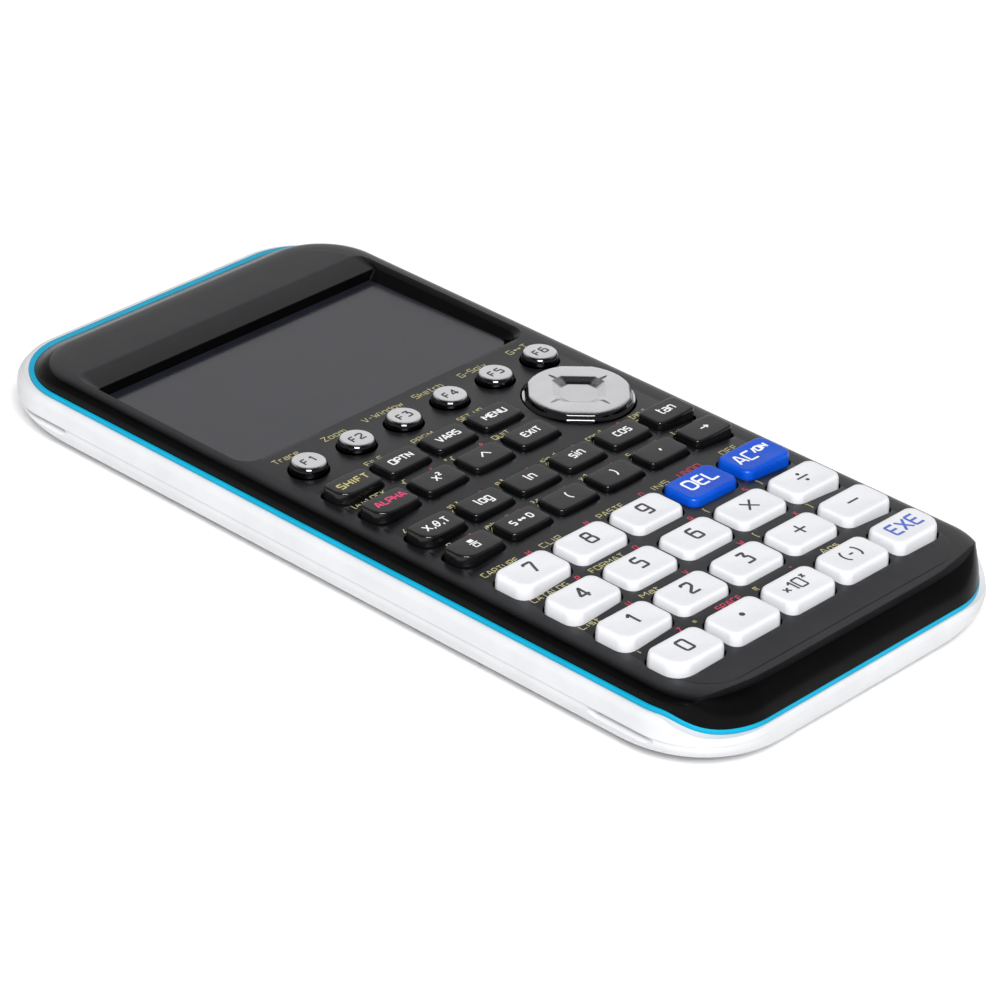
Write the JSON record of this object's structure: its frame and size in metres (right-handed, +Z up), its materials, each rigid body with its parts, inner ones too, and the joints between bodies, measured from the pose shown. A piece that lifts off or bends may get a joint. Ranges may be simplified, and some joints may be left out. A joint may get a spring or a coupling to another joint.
{
  "type": "graphing calculator",
  "caption": "Handheld graphing calculator: black face with a recessed wide screen, travelling keys and cursor pad, cyan seam band, white rounded back with a battery door.",
  "frame": {"origin": "centre of the case's footprint, on the plane the back rests on", "axes": "+X to the user's right, +Y from the user towards the screen end, +Z up out of the key face"},
  "size_m": [0.089, 0.1886, 0.0186],
  "materials": {
    "black_case": "dark grey plastic, fine matte face with glossy rolled edges",
    "accent_band": "bright cyan plastic, satin gloss",
    "white_case": "white plastic, satin",
    "screen_window": "dark grey clear-coated screen window, screen off",
    "display_glass": "display panel in a dark frame",
    "membrane_rubber": "grey silicone rubber",
    "contact_film": "amber printed contact film",
    "board": "green solder mask",
    "cell": "printed foil jacket",
    "white_key": "white plastic, soft gloss",
    "blue_key": "blue plastic, soft gloss",
    "black_key": "black plastic, satin top and polished sides",
    "chrome_key": "bright chrome plating, satin top"
  },
  "bodies": {
    "case": {"front_cover": "black_case", "accent_band": "accent_band", "rear_cover": "white_case", "battery_cell_1": "cell", "battery_cell_2": "cell", "battery_cell_3": "cell", "battery_cell_4": "cell", "screen_window": "screen_window", "display_module": "display_glass", "keypad_membrane": "membrane_rubber", "key_contact_sheet": "contact_film", "circuit_board": "board"},
    "key_f1": {"key_f1": "chrome_key"},
    "key_f2": {"key_f2": "chrome_key"},
    "key_f3": {"key_f3": "chrome_key"},
    "key_f4": {"key_f4": "chrome_key"},
    "key_f5": {"key_f5": "chrome_key"},
    "key_f6": {"key_f6": "chrome_key"},
    "key_shift": {"key_shift": "black_key"},
    "key_options": {"key_options": "black_key"},
    "key_variables": {"key_variables": "black_key"},
    "key_menu": {"key_menu": "black_key"},
    "key_alpha": {"key_alpha": "black_key"},
    "key_square": {"key_square": "black_key"},
    "key_power": {"key_power": "black_key"},
    "key_exit": {"key_exit": "black_key"},
    "key_x_theta_t": {"key_x_theta_t": "black_key"},
    "key_log": {"key_log": "black_key"},
    "key_ln": {"key_ln": "black_key"},
    "key_sin": {"key_sin": "black_key"},
    "key_cos": {"key_cos": "black_key"},
    "key_tan": {"key_tan": "black_key"},
    "key_fraction": {"key_fraction": "black_key"},
    "key_convert": {"key_convert": "black_key"},
    "key_open_bracket": {"key_open_bracket": "black_key"},
    "key_close_bracket": {"key_close_bracket": "black_key"},
    "key_comma": {"key_comma": "black_key"},
    "key_store": {"key_store": "black_key"},
    "key_7": {"key_7": "white_key"},
    "key_8": {"key_8": "white_key"},
    "key_9": {"key_9": "white_key"},
    "key_delete": {"key_delete": "blue_key"},
    "key_all_clear": {"key_all_clear": "blue_key"},
    "key_4": {"key_4": "white_key"},
    "key_5": {"key_5": "white_key"},
    "key_6": {"key_6": "white_key"},
    "key_multiply": {"key_multiply": "white_key"},
    "key_divide": {"key_divide": "white_key"},
    "key_1": {"key_1": "white_key"},
    "key_2": {"key_2": "white_key"},
    "key_3": {"key_3": "white_key"},
    "key_plus": {"key_plus": "white_key"},
    "key_minus": {"key_minus": "white_key"},
    "key_0": {"key_0": "white_key"},
    "key_point": {"key_point": "white_key"},
    "key_exponent": {"key_exponent": "white_key"},
    "key_negative": {"key_negative": "white_key"},
    "key_execute": {"key_execute": "white_key"},
    "cursor_pad": {"cursor_pad": "chrome_key"},
    "battery_door": {"battery_door": "white_case"}
  },
  "joints": [
    {"name": "key_f1_press", "type": "slide", "parent": "case", "child": "key_f1", "axis": [0, 0, -1], "range_m": [0, 0.001], "stiffness_N_per_m": 600, "springref_m": -0.0006},
    {"name": "key_f2_press", "type": "slide", "parent": "case", "child": "key_f2", "axis": [0, 0, -1], "range_m": [0, 0.001], "stiffness_N_per_m": 600, "springref_m": -0.0006},
    {"name": "key_f3_press", "type": "slide", "parent": "case", "child": "key_f3", "axis": [0, 0, -1], "range_m": [0, 0.001], "stiffness_N_per_m": 600, "springref_m": -0.0006},
    {"name": "key_f4_press", "type": "slide", "parent": "case", "child": "key_f4", "axis": [0, 0, -1], "range_m": [0, 0.001], "stiffness_N_per_m": 600, "springref_m": -0.0006},
    {"name": "key_f5_press", "type": "slide", "parent": "case", "child": "key_f5", "axis": [0, 0, -1], "range_m": [0, 0.001], "stiffness_N_per_m": 600, "springref_m": -0.0006},
    {"name": "key_f6_press", "type": "slide", "parent": "case", "child": "key_f6", "axis": [0, 0, -1], "range_m": [0, 0.001], "stiffness_N_per_m": 600, "springref_m": -0.0006},
    {"name": "key_shift_press", "type": "slide", "parent": "case", "child": "key_shift", "axis": [0, 0, -1], "range_m": [0, 0.001], "stiffness_N_per_m": 600, "springref_m": -0.0006},
    {"name": "key_options_press", "type": "slide", "parent": "case", "child": "key_options", "axis": [0, 0, -1], "range_m": [0, 0.001], "stiffness_N_per_m": 600, "springref_m": -0.0006},
    {"name": "key_variables_press", "type": "slide", "parent": "case", "child": "key_variables", "axis": [0, 0, -1], "range_m": [0, 0.001], "stiffness_N_per_m": 600, "springref_m": -0.0006},
    {"name": "key_menu_press", "type": "slide", "parent": "case", "child": "key_menu", "axis": [0, 0, -1], "range_m": [0, 0.001], "stiffness_N_per_m": 600, "springref_m": -0.0006},
    {"name": "key_alpha_press", "type": "slide", "parent": "case", "child": "key_alpha", "axis": [0, 0, -1], "range_m": [0, 0.001], "stiffness_N_per_m": 600, "springref_m": -0.0006},
    {"name": "key_square_press", "type": "slide", "parent": "case", "child": "key_square", "axis": [0, 0, -1], "range_m": [0, 0.001], "stiffness_N_per_m": 600, "springref_m": -0.0006},
    {"name": "key_power_press", "type": "slide", "parent": "case", "child": "key_power", "axis": [0, 0, -1], "range_m": [0, 0.001], "stiffness_N_per_m": 600, "springref_m": -0.0006},
    {"name": "key_exit_press", "type": "slide", "parent": "case", "child": "key_exit", "axis": [0, 0, -1], "range_m": [0, 0.001], "stiffness_N_per_m": 600, "springref_m": -0.0006},
    {"name": "key_x_theta_t_press", "type": "slide", "parent": "case", "child": "key_x_theta_t", "axis": [0, 0, -1], "range_m": [0, 0.001], "stiffness_N_per_m": 600, "springref_m": -0.0006},
    {"name": "key_log_press", "type": "slide", "parent": "case", "child": "key_log", "axis": [0, 0, -1], "range_m": [0, 0.001], "stiffness_N_per_m": 600, "springref_m": -0.0006},
    {"name": "key_ln_press", "type": "slide", "parent": "case", "child": "key_ln", "axis": [0, 0, -1], "range_m": [0, 0.001], "stiffness_N_per_m": 600, "springref_m": -0.0006},
    {"name": "key_sin_press", "type": "slide", "parent": "case", "child": "key_sin", "axis": [0, 0, -1], "range_m": [0, 0.001], "stiffness_N_per_m": 600, "springref_m": -0.0006},
    {"name": "key_cos_press", "type": "slide", "parent": "case", "child": "key_cos", "axis": [0, 0, -1], "range_m": [0, 0.001], "stiffness_N_per_m": 600, "springref_m": -0.0006},
    {"name": "key_tan_press", "type": "slide", "parent": "case", "child": "key_tan", "axis": [0, 0, -1], "range_m": [0, 0.001], "stiffness_N_per_m": 600, "springref_m": -0.0006},
    {"name": "key_fraction_press", "type": "slide", "parent": "case", "child": "key_fraction", "axis": [0, 0, -1], "range_m": [0, 0.001], "stiffness_N_per_m": 600, "springref_m": -0.0006},
    {"name": "key_convert_press", "type": "slide", "parent": "case", "child": "key_convert", "axis": [0, 0, -1], "range_m": [0, 0.001], "stiffness_N_per_m": 600, "springref_m": -0.0006},
    {"name": "key_open_bracket_press", "type": "slide", "parent": "case", "child": "key_open_bracket", "axis": [0, 0, -1], "range_m": [0, 0.001], "stiffness_N_per_m": 600, "springref_m": -0.0006},
    {"name": "key_close_bracket_press", "type": "slide", "parent": "case", "child": "key_close_bracket", "axis": [0, 0, -1], "range_m": [0, 0.001], "stiffness_N_per_m": 600, "springref_m": -0.0006},
    {"name": "key_comma_press", "type": "slide", "parent": "case", "child": "key_comma", "axis": [0, 0, -1], "range_m": [0, 0.001], "stiffness_N_per_m": 600, "springref_m": -0.0006},
    {"name": "key_store_press", "type": "slide", "parent": "case", "child": "key_store", "axis": [0, 0, -1], "range_m": [0, 0.001], "stiffness_N_per_m": 600, "springref_m": -0.0006},
    {"name": "key_7_press", "type": "slide", "parent": "case", "child": "key_7", "axis": [0, 0, -1], "range_m": [0, 0.001], "stiffness_N_per_m": 600, "springref_m": -0.0006},
    {"name": "key_8_press", "type": "slide", "parent": "case", "child": "key_8", "axis": [0, 0, -1], "range_m": [0, 0.001], "stiffness_N_per_m": 600, "springref_m": -0.0006},
    {"name": "key_9_press", "type": "slide", "parent": "case", "child": "key_9", "axis": [0, 0, -1], "range_m": [0, 0.001], "stiffness_N_per_m": 600, "springref_m": -0.0006},
    {"name": "key_delete_press", "type": "slide", "parent": "case", "child": "key_delete", "axis": [0, 0, -1], "range_m": [0, 0.001], "stiffness_N_per_m": 600, "springref_m": -0.0006},
    {"name": "key_all_clear_press", "type": "slide", "parent": "case", "child": "key_all_clear", "axis": [0, 0, -1], "range_m": [0, 0.001], "stiffness_N_per_m": 600, "springref_m": -0.0006},
    {"name": "key_4_press", "type": "slide", "parent": "case", "child": "key_4", "axis": [0, 0, -1], "range_m": [0, 0.001], "stiffness_N_per_m": 600, "springref_m": -0.0006},
    {"name": "key_5_press", "type": "slide", "parent": "case", "child": "key_5", "axis": [0, 0, -1], "range_m": [0, 0.001], "stiffness_N_per_m": 600, "springref_m": -0.0006},
    {"name": "key_6_press", "type": "slide", "parent": "case", "child": "key_6", "axis": [0, 0, -1], "range_m": [0, 0.001], "stiffness_N_per_m": 600, "springref_m": -0.0006},
    {"name": "key_multiply_press", "type": "slide", "parent": "case", "child": "key_multiply", "axis": [0, 0, -1], "range_m": [0, 0.001], "stiffness_N_per_m": 600, "springref_m": -0.0006},
    {"name": "key_divide_press", "type": "slide", "parent": "case", "child": "key_divide", "axis": [0, 0, -1], "range_m": [0, 0.001], "stiffness_N_per_m": 600, "springref_m": -0.0006},
    {"name": "key_1_press", "type": "slide", "parent": "case", "child": "key_1", "axis": [0, 0, -1], "range_m": [0, 0.001], "stiffness_N_per_m": 600, "springref_m": -0.0006},
    {"name": "key_2_press", "type": "slide", "parent": "case", "child": "key_2", "axis": [0, 0, -1], "range_m": [0, 0.001], "stiffness_N_per_m": 600, "springref_m": -0.0006},
    {"name": "key_3_press", "type": "slide", "parent": "case", "child": "key_3", "axis": [0, 0, -1], "range_m": [0, 0.001], "stiffness_N_per_m": 600, "springref_m": -0.0006},
    {"name": "key_plus_press", "type": "slide", "parent": "case", "child": "key_plus", "axis": [0, 0, -1], "range_m": [0, 0.001], "stiffness_N_per_m": 600, "springref_m": -0.0006},
    {"name": "key_minus_press", "type": "slide", "parent": "case", "child": "key_minus", "axis": [0, 0, -1], "range_m": [0, 0.001], "stiffness_N_per_m": 600, "springref_m": -0.0006},
    {"name": "key_0_press", "type": "slide", "parent": "case", "child": "key_0", "axis": [0, 0, -1], "range_m": [0, 0.001], "stiffness_N_per_m": 600, "springref_m": -0.0006},
    {"name": "key_point_press", "type": "slide", "parent": "case", "child": "key_point", "axis": [0, 0, -1], "range_m": [0, 0.001], "stiffness_N_per_m": 600, "springref_m": -0.0006},
    {"name": "key_exponent_press", "type": "slide", "parent": "case", "child": "key_exponent", "axis": [0, 0, -1], "range_m": [0, 0.001], "stiffness_N_per_m": 600, "springref_m": -0.0006},
    {"name": "key_negative_press", "type": "slide", "parent": "case", "child": "key_negative", "axis": [0, 0, -1], "range_m": [0, 0.001], "stiffness_N_per_m": 600, "springref_m": -0.0006},
    {"name": "key_execute_press", "type": "slide", "parent": "case", "child": "key_execute", "axis": [0, 0, -1], "range_m": [0, 0.001], "stiffness_N_per_m": 600, "springref_m": -0.0006},
    {"name": "cursor_pad_press", "type": "slide", "parent": "case", "child": "cursor_pad", "axis": [0, 0, -1], "range_m": [0, 0.001], "stiffness_N_per_m": 600, "springref_m": -0.0006},
    {"name": "battery_door_slide", "type": "slide", "parent": "case", "child": "battery_door", "axis": [0, 0, -1], "range_m": [0, 0.015]}
  ]
}
